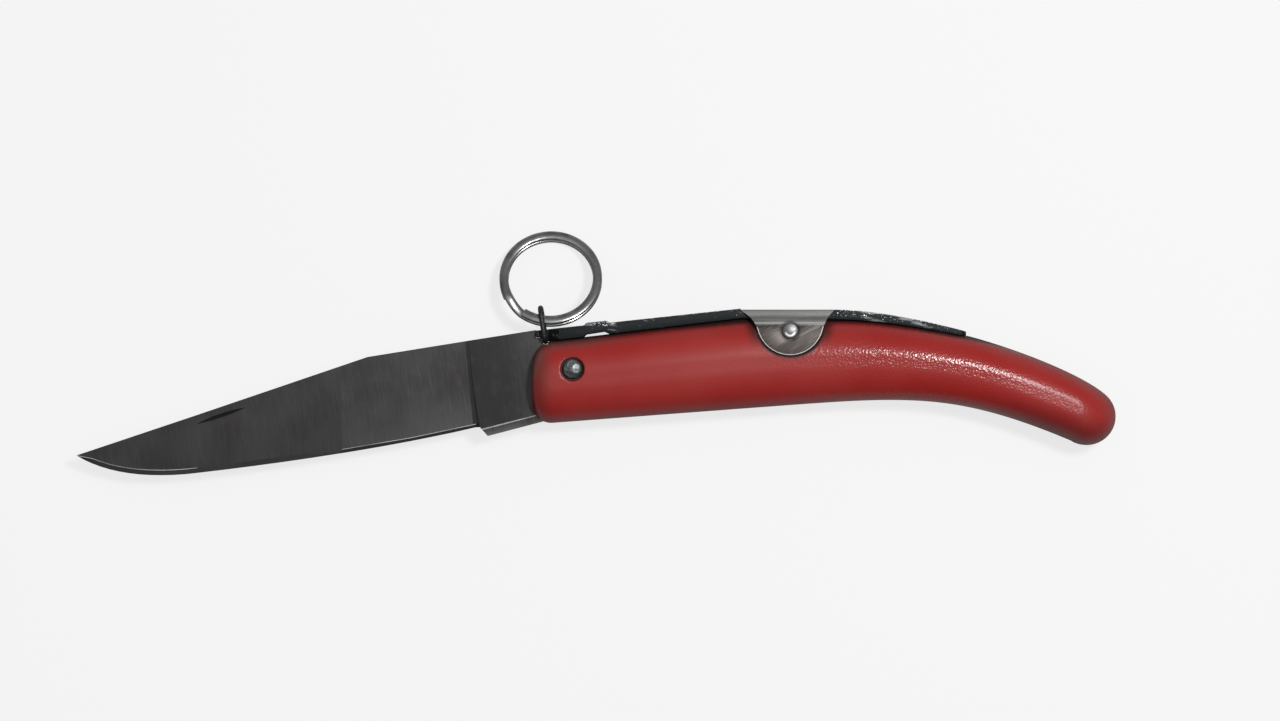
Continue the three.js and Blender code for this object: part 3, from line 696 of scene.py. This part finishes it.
def cut_across(form, x):
    """Splits every face that crosses x, so that the mesh can change there."""
    bmesh.ops.bisect_plane(
        form, geom=form.verts[:] + form.edges[:] + form.faces[:],
        plane_co=millimetres(x, 0), plane_no=(1, 0, 0), dist=0.001 * mm)


def skin_over(sections):
    """A bmesh of closed rings, bridged one to the next and capped at both ends."""
    form = bmesh.new()
    rings = []
    for section in sections:
        circle = bmesh.ops.create_circle(form, segments=len(section), radius=1)["verts"]
        rings.append(list({edge for vert in circle for edge in vert.link_edges}))
        for vert, place in zip(circle, section):
            vert.co = place
    for ring, following in zip(rings, rings[1:]):
        bmesh.ops.bridge_loops(form, edges=ring + following)
    for ring in (rings[0], rings[-1]):
        bmesh.ops.contextual_create(form, geom=ring)
    bmesh.ops.recalc_face_normals(form, faces=form.faces)
    return form


# %% [markdown]
# The handle is a moulded bar of rounded, slightly squarish section that runs out into a
# drooping butt. Its skin is made from many rings, each a circle pulled to the section at
# that station, and the rings are bridged. It then keeps only what it shares with the CAD
# handle, which holds the blade's slot, the spring's bed and the saddle's pockets.

# %% Handle: the curves of its back and belly
handle_front = -8.8
front_round = 4.5
crown_front = 5.9
butt_centre = Vector((111.1, -10.25))
butt_radius = 6.35
back_turn = math.radians(48)
belly_turn = math.radians(67)
crown_rise = 0.4
tail_rise = 0.5
skin = 0.12


def toward(turn):
    return Vector((math.cos(turn), math.sin(turn)))


butt_back = butt_centre + butt_radius * toward(back_turn)
butt_belly = butt_centre - butt_radius * toward(belly_turn)
tail_edge = bed_tail + Vector((0, tail_rise))


def bezier(points, share):
    """A point on a Bezier curve of any degree."""
    while len(points) > 1:
        points = [a.lerp(b, share) for a, b in zip(points, points[1:])]
    return points[0]


def height_at(points, x):
    """The height of a Bezier curve at an x, where x only grows along it."""
    low, high = 0, 1
    for _ in range(30):
        middle = (low + high) / 2
        if bezier(points, middle).x < x:
            low = middle
        else:
            high = middle
    return bezier(points, low).y


back_run = butt_back.x - tail_edge.x
back_curve = [tail_edge, tail_edge + Vector((0.4, -0.105)) * back_run,
              butt_back + Vector((-1, 1 / math.tan(back_turn))) * 0.15 * back_run, butt_back]
belly_bend = Vector((42.7, -8.45))
belly_slope = 3.85 / 51.5
belly_run = butt_belly.x - belly_bend.x
belly_curve = [belly_bend, belly_bend + Vector((1, belly_slope)) * 0.45 * belly_run,
               butt_belly + Vector((-1, 1 / math.tan(belly_turn))) * 0.39 * belly_run,
               butt_belly]
bed_knot = Vector((bed_rear.x + 0.38 * (bed_tail.x - bed_rear.x), bed_rear.y))
bed_curve = [bed_rear, bed_knot, bed_tail]


def butt_half(x):
    return math.sqrt(max(0, butt_radius ** 2 - (x - butt_centre.x) ** 2))


def between(x, start, end):
    """The height at x of the straight line through two points."""
    return start.y + (end.y - start.y) * (x - start.x) / (end.x - start.x)


def handle_top(x):
    rise = Vector((0, crown_rise))
    if x < bed_front.x:
        return between(x, Vector((handle_front, crown_front)), bed_front + rise)
    if x < bed_rear.x:
        return between(x, bed_front, bed_rear) + crown_rise
    if x < bed_tail.x:
        share = (x - bed_rear.x) / (bed_tail.x - bed_rear.x)
        return height_at(bed_curve, x) + crown_rise + (tail_rise - crown_rise) * share
    if x < butt_back.x:
        return height_at(back_curve, x)
    return butt_centre.y + butt_half(x)


def bed_height(x):
    """The height of the spring's bed."""
    if x < bed_front.x:
        return bed_front.y - bed_slope * (bed_front.x - x)
    if x < bed_rear.x:
        return between(x, bed_front, bed_rear)
    return height_at(bed_curve, min(x, bed_tail.x))


def handle_bottom(x):
    if x < belly_bend.x:
        return belly_bend.y - belly_slope * (belly_bend.x - x)
    if x < butt_belly.x:
        return height_at(belly_curve, x)
    return butt_centre.y - butt_half(x)


print(f"handle at the saddle: {handle_bottom(46):.1f} to {handle_top(46):.1f} mm")

# %% Handle: rings, skin and cuts
ring_points = 80
front_stations = 14
long_stations = 96
butt_stations = 24
section_power = 2.2
half_thickness = 7.7
flat_half = 7.49


def handle_section(x, angle):
    """A point of the handle's section at a station; angle 0 is the back. The section is
    drawn in where the front is rounded, less across the thickness than up and down."""
    along = min(1, (x - handle_front) / front_round)
    draw_in = front_round * (1 - math.sqrt(1 - (1 - along) ** 2)) + skin
    round_from = butt_centre.x - butt_radius / 2
    over = max(0, (x - round_from) / (butt_centre.x + butt_radius - round_from))
    half_z = half_thickness * math.sqrt(1 - over ** 2) - draw_in * 0.6 - skin * 0.4
    middle = (handle_top(x) + handle_bottom(x)) / 2
    half_y = (handle_top(x) - handle_bottom(x)) / 2 - draw_in
    bulge = [math.copysign(abs(value) ** (2 / section_power), value)
             for value in (math.cos(angle), math.sin(angle))]
    z = max(-flat_half, min(flat_half, half_z * bulge[1]))
    return millimetres(x, middle + half_y * bulge[0], z)


def handle_stations():
    """Where the rings stand along x: closer together where the front and butt are round."""
    front = [handle_front + skin
             + front_round * (1 - math.cos(i / front_stations * math.pi / 2))
             for i in range(front_stations)]
    straight_from = handle_front + skin + front_round
    straight_to = butt_centre.x - butt_radius / 2
    straight = [straight_from + (straight_to - straight_from) * i / long_stations
                for i in range(long_stations)]
    turn_from, turn_to = math.radians(-30), math.radians(88)
    butt = [butt_centre.x + (butt_radius - skin)
            * math.sin(turn_from + (turn_to - turn_from) * i / butt_stations)
            for i in range(butt_stations + 1)]
    return front + straight + butt


turns = [math.tau * i / ring_points for i in range(ring_points)]
form = skin_over([[handle_section(x, turn) for turn in turns] for x in handle_stations()])
handle = make_piece(form, "handle_moulding", ["red"])

# %% Handle: the CAD's cuts, with the step under the link nearer to it
cad_step = Vector((-5.1, 5.05))
step = Vector((-5.37, 5.33))
corner_fill = 0.42

cuts_mesh = bpy.data.meshes.new("handle_cuts")
form = merged_copy("handle")
for vert in form.verts:
    at = (vert.co - pivot) / mm
    if at.x < -5 and abs(at.z) < 4.5 and 5 < at.y < 6.1:
        if abs(at.x - cad_step.x) < 0.02:
            vert.co.x = millimetres(step.x, 0).x
        if abs(at.y - cad_step.y) < 0.02:
            vert.co.y = millimetres(0, step.y).y
link_corner = upright_edges(form, *step)
print(f"edges in the corner under the link: {len(link_corner)}")
round_over(form, link_corner, corner_fill, 3)
form.to_mesh(cuts_mesh)
form.free()
cuts = bpy.data.objects.new("handle_cuts", cuts_mesh)
bpy.context.scene.collection.objects.link(cuts)
common = handle.modifiers.new("common", "BOOLEAN")
common.operation = "INTERSECT"
common.solver = "EXACT"
common.object = cuts


def settled(piece):
    """A bmesh of what a piece's modifiers make of it."""
    graph = bpy.context.evaluated_depsgraph_get()
    shaped = bpy.data.meshes.new_from_object(piece.evaluated_get(graph))
    form = bmesh.new()
    form.from_mesh(shaped)
    bpy.data.objects.remove(piece)
    return form


form = settled(handle)
bpy.data.objects.remove(cuts)
bmesh.ops.remove_doubles(form, verts=form.verts, dist=0.01 * mm)
bmesh.ops.dissolve_degenerate(form, dist=0.01 * mm, edges=form.edges)
for face in form.faces:
    face.material_index = 0
open_edges = sum(not edge.is_manifold for edge in form.edges)
print(f"open edges after the cut: {open_edges}")
round_over(form, sharp_edges(form, 38), 0.16, 2, clamp=False)
handle = make_piece(form, "handle_moulding", ["red"], 40)
stand_for(handle, "handle", "grip")

# %% [markdown]
# The blade comes from CAD with its flat grind, plunge, honed edge and nail nick. A face's
# tilt and place tell which of these it belongs to, and so which finish it gets. The notch
# for the spring's nose is drawn a little nearer to the nose, so that no light shows through.

# %% Blade: notch and finishes
nose_notch = (
    ((-8.4, 6.5), (-8.07, 6.75)), ((-8.4, 8.4), (-8.07, 8.4)), ((-6.9, 6.5), (-6.54, 6.84)),
    ((-6.9, 4.75), (-6.54, 5.33)), ((-5.95, 4.75), (-5.95, 5.33)),
)
blade_paints = ["blade", "honed", "kick", "glint", "nick"]
heel = -21
kick_front = -19.4
root_from = -50

form = merged_copy("blade")
move_points(form, nose_notch)
round_over(form, upright_edges(form, -6.54, 5.33), corner_fill, 3)
cut_across(form, root_from)
painted = dict.fromkeys(blade_paints, 0)
for face in form.faces:
    flat = abs(face.normal.z)
    at = (face.calc_center_median() - pivot) / mm
    finish = "blade"
    if 0.2 < flat < 0.985 and at.x < heel:
        high = at.y > -7.5 + 0.163 * at.x
        finish = "nick" if high and -84 < at.x < -70 else "honed"
    elif 0.2 < flat < 0.99 and at.x > kick_front and at.y < -9:
        finish = "kick"
    face.material_index = blade_paints.index(finish)
    painted[finish] += 1
print("faces by finish:", painted)

# %% [markdown]
# Where the hone meets the ground side, and along the ridge of the kick, a thin bright line
# is painted as a highlight. Each is a very narrow bevel with a near-white finish. Toward the
# heel the hone is narrower, and the painted highlight runs there and along the tip.

# %% Blade: edges and painted highlight lines
def paints_meet(edge, one, other):
    """True where an edge divides a face of one paint from a face of another."""
    indices = {face.material_index for face in edge.link_faces}
    return indices == {blade_paints.index(one), blade_paints.index(other)}


def x_of(vert):
    return (vert.co.x - pivot.x) / mm


def on_crease(edge):
    """True for the line where the hone meets the ground side."""
    run = (edge.verts[1].co - edge.verts[0].co).normalized()
    return paints_meet(edge, "blade", "honed") and abs(run.x) > 0.6 and (
        all(abs(face.normal.z) > 0.2 for face in edge.link_faces))


def catches_light(edge):
    """True on the crease near the heel and along the tip."""
    places = [x_of(vert) for vert in edge.verts]
    return on_crease(edge) and (min(places) > root_from - 1 or max(places) < -80)


toward_edge = Vector((0.16, -0.987, 0))
hone_narrower = 0.4

for vert in {vert for edge in form.edges if on_crease(edge) for vert in edge.verts}:
    if x_of(vert) > root_from - 1:
        vert.co += toward_edge * hone_narrower * mm
round_over(form, sharp_edges(form, 40), 0.10, 2)
honed_line = sharp_edges(form, 2, catches_light)
bright = round_over(form, honed_line, 0.06, 1, clamp=False)
# painted highlight: the bevel along the hone gets the near-white finish
for face in bright:
    face.material_index = blade_paints.index("glint")
kick_ridge = sharp_edges(form, 5, lambda edge: paints_meet(edge, "blade", "kick") and (
    edge.calc_length() > 2 * mm))
bright = round_over(form, kick_ridge, 0.16, 1, clamp=False)
# painted highlight: the bevel along the kick's ridge gets the near-white finish
for face in bright:
    face.material_index = blade_paints.index("glint")
for vert in form.verts:
    vert.co.y = max(vert.co.y, cad_box[0][1])
print(f"bright lines: {len(honed_line)} edges along the hone, {len(kick_ridge)} at the kick")
blade = make_piece(form, "blade_body", blade_paints, 5)
stand_for(blade, "blade", "blade")

# %% [markdown]
# The back spring is one strip from the nose to the tail. The CAD leaf floats 0.15 mm over
# its bed, and here its underside is pressed down, so that no light shows between it and
# the plastic. The upper bevels are rubbed by the thumb and get the lighter finish.

# %% Back spring
bend_from = 35
bend_to = 9
bend_cuts = 40
seat_gap = 0.15
pressed_down = 0.12
hidden_under_crown = 0.34
window_ends = (
    ((-5.15, 7.11), (-5.25, 5.95)), ((3.0, 7.98), (2.9, 7.45)), ((7.3, 8.44), (6.85, 8.06)),
)

form = merged_copy("lock_spring")
cut_across(form, 17)
pressed = 0
for vert in form.verts:
    at = (vert.co - pivot) / mm
    if at.x > -5 and abs(at.y - bed_height(at.x) - seat_gap) < 0.06:
        height = at.y - pressed_down
        if at.x < 20:
            height = min(height, handle_top(at.x) - hidden_under_crown)
        vert.co.y = millimetres(0, height).y
        pressed += 1
print(f"underside points pressed down on the handle: {pressed}")
move_points(form, window_ends)
for face in round_over(form, sharp_edges(form, 30), 0.18, 2):
    at = (face.calc_center_median() - pivot) / mm
    if at.y > bed_height(at.x) + 1.2:
        face.material_index = 1
for cut in range(bend_cuts + 1):
    cut_across(form, bend_to + (bend_from - bend_to) * cut / bend_cuts)
leaf = make_piece(form, "lock_spring_leaf", ["black", "rubbed"])
stand_for(leaf, "lock_spring", None)
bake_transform(leaf)

# %% [markdown]
# The saddle is bent from one sheet. The four lengthwise folds of the CAD solid become
# round bends, and then the cut outline is broken into a thin rim, painted near-white as a
# highlight.

# %% Saddle
form = merged_copy("spring_saddle")


def runs_lengthwise(edge):
    along = (edge.verts[1].co - edge.verts[0].co).normalized()
    return abs(along.x) > 0.999 and edge.calc_length() > 3 * mm


flap_top = millimetres(0, 9.2).y
folds = sharp_edges(form, 8, runs_lengthwise)
print(f"lengthwise folds: {len(folds)}")
round_over(form, folds, 0.30, 3)
arcs = sharp_edges(form, 50, lambda edge: max(v.co.y for v in edge.verts) < flap_top)
rim = round_over(form, arcs, 0.19, 2, clamp=False)
# painted highlight: the rim faces get the near-white finish
for face in rim:
    face.material_index = 1
round_over(form, sharp_edges(form, 50, lambda edge: edge.verts[0].co.y > flap_top), 0.1, 2)
print(f"rim: {len(arcs)} edges, {len(rim)} faces")
saddle = make_piece(form, "saddle_sheet", ["saddle", "rim"], 35)
stand_for(saddle, "spring_saddle", "grip")

# %% [markdown]
# Pin and rivet are turned shapes: half of an outline, spun about an axis across the knife.
# The profile is a chain of vertices from the dome's middle to the shank, and spin sweeps
# it round. The other side is a mirror image.

# %% Pins
def spun_pin(name, x, y, outline, paint_name):
    """Spins an outline of radius and height about the pin's axis, on both sides."""
    form = bmesh.new()
    verts = [form.verts.new(millimetres(x + radius, y, height)) for radius, height in outline]
    for one, following in zip(verts, verts[1:]):
        form.edges.new((one, following))
    bmesh.ops.spin(
        form, geom=form.verts[:] + form.edges[:], cent=millimetres(x, y), axis=(0, 0, 1),
        angle=math.tau, steps=64, use_merge=True)
    half = form.verts[:] + form.edges[:] + form.faces[:]
    bmesh.ops.mirror(
        form, geom=half, matrix=Matrix.Translation(-pivot), merge_dist=0, axis="Z")
    bmesh.ops.remove_doubles(form, verts=form.verts, dist=0.004 * mm)
    bmesh.ops.recalc_face_normals(form, faces=form.faces)
    return make_piece(form, name, [paint_name], 40)


def domed_outline(shank, head, face, head_height, dome):
    """The outline of a domed head on a shank, from the middle of the dome to the waist."""
    steps = 10
    rim = 0.12
    top = [(head * i / steps, face - dome * (i / steps) ** 2) for i in range(steps)]
    edge = [(head - rim * 0.3, face - dome - rim * 0.1), (head, face - dome - rim)]
    return top + edge + [(head, face - head_height), (shank, face - head_height), (shank, 0)]


pin = spun_pin("pivot_pin_steel", 0, 0, domed_outline(1.5, 2.05, 7.4, 0.85, 0.5), "pin")
stand_for(pin, "pivot_pin", "grip")

rivet_face = (rivet_high.z - pivot.z) / mm
rivet = spun_pin(
    "saddle_rivet_steel", rivet_place.x, rivet_place.y,
    domed_outline(1.1, 1.73, rivet_face, 0.42, 0.28), "rivet")
stand_for(rivet, "saddle_rivet", "grip")

# %% [markdown]
# The link is a closed loop of round wire, a rounded square across the neck of the spring.
# A curve with a round bevel makes wire with the least work: its points come from the same
# rule as in CAD, and it is turned into a mesh at the end.

# %% Link
link_wire = 1.1
link_height = 7.4
link_width = 8
link_lean = math.radians(8.3)
link_base = Vector((-5.95, 5.9))
link_squareness = 3.5
link_steps = 96


def link_point(share):
    """A point of the loop, whose base is in the spring's neck and whose top leans forward."""
    angle = math.tau * share
    round_y, round_z = (
        math.copysign(abs(value) ** (2 / link_squareness), value)
        for value in (math.sin(angle), math.cos(angle)))
    up = link_height / 2 * (1 + round_y)
    return millimetres(
        link_base.x - up * math.sin(link_lean), link_base.y + up * math.cos(link_lean),
        link_width / 2 * round_z)


path = bpy.data.curves.new("link_path", "CURVE")
path.dimensions = "3D"
path.bevel_depth = link_wire * mm / 2
path.bevel_resolution = 6
loop = path.splines.new("POLY")
loop.points.add(link_steps - 1)
for index, knot in enumerate(loop.points):
    knot.co = (*link_point(index / link_steps), 1)
loop.use_cyclic_u = True
curve = bpy.data.objects.new("link_path", path)
bpy.context.scene.collection.objects.link(curve)
form = settled(curve)
bmesh.ops.remove_doubles(form, verts=form.verts, dist=0.001 * mm)
bmesh.ops.recalc_face_normals(form, faces=form.faces)
link = make_piece(form, "link_wire", ["wire"], 50)
stand_for(link, "ring_link", "link")

# %% [markdown]
# The pull ring is a split ring: one flattened wire of nearly two turns that steps sideways
# where the turns change over. It stands on its far edge, so its whole path is tilted and
# then put in the middle of the CAD ring's box. A curve's bevel is round, so the ring's
# flattened sections are bridged one by one instead.

# %% Pull ring
wire_width = 1.98
wire_thickness = 0.88
wire_squareness = 2.15
ring_radius = 10.15
ring_pitch = 1.4
ring_jog = math.radians(30)
ring_start = math.radians(-125)
ring_tilt = math.radians(-24)
ring_sweep = 2 * math.tau - ring_jog
ring_low, ring_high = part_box("pull_ring")
ring_centre = (ring_low + ring_high) / 2


def ring_point(angle, turn):
    """A point of the wire's flattened section, at an angle round the ring."""
    step = max(0, min(1, (angle - math.tau + ring_jog) / ring_jog))
    step = step * step * (3 - 2 * step)
    across, up = (
        math.copysign(abs(value) ** (2 / wire_squareness), value)
        for value in (math.cos(turn), math.sin(turn)))
    reach = ring_radius + wire_width / 2 * across
    flat = Vector((
        reach * math.cos(ring_start + angle),
        reach * math.sin(ring_start + angle),
        ring_pitch * (0.5 - step) + wire_thickness / 2 * up,
    ))
    return ring_centre + (Matrix.Rotation(ring_tilt, 3, "X") @ flat) * mm


ring_steps = 640
wire_points = 24
turns = [math.tau * i / wire_points for i in range(wire_points)]
form = skin_over([
    [ring_point(ring_sweep * i / ring_steps, turn) for turn in turns]
    for i in range(ring_steps + 1)])
round_over(form, sharp_edges(form, 70), 0.12, 2)
ring = make_piece(form, "split_ring_wire", ["ring"], 50)
stand_for(ring, "pull_ring", "ring")

# %% [markdown]
# Last, the sizes of the visual model's box and of the CAD model's box are printed. The
# pieces may not grow past it.

# %% Sizes and finish
visual_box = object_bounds()
for label, box in (("CAD", cad_box), ("visual", visual_box)):
    print(label, " x ".join(f"{(high - low) / mm:.2f}" for low, high in zip(*box)), "mm")
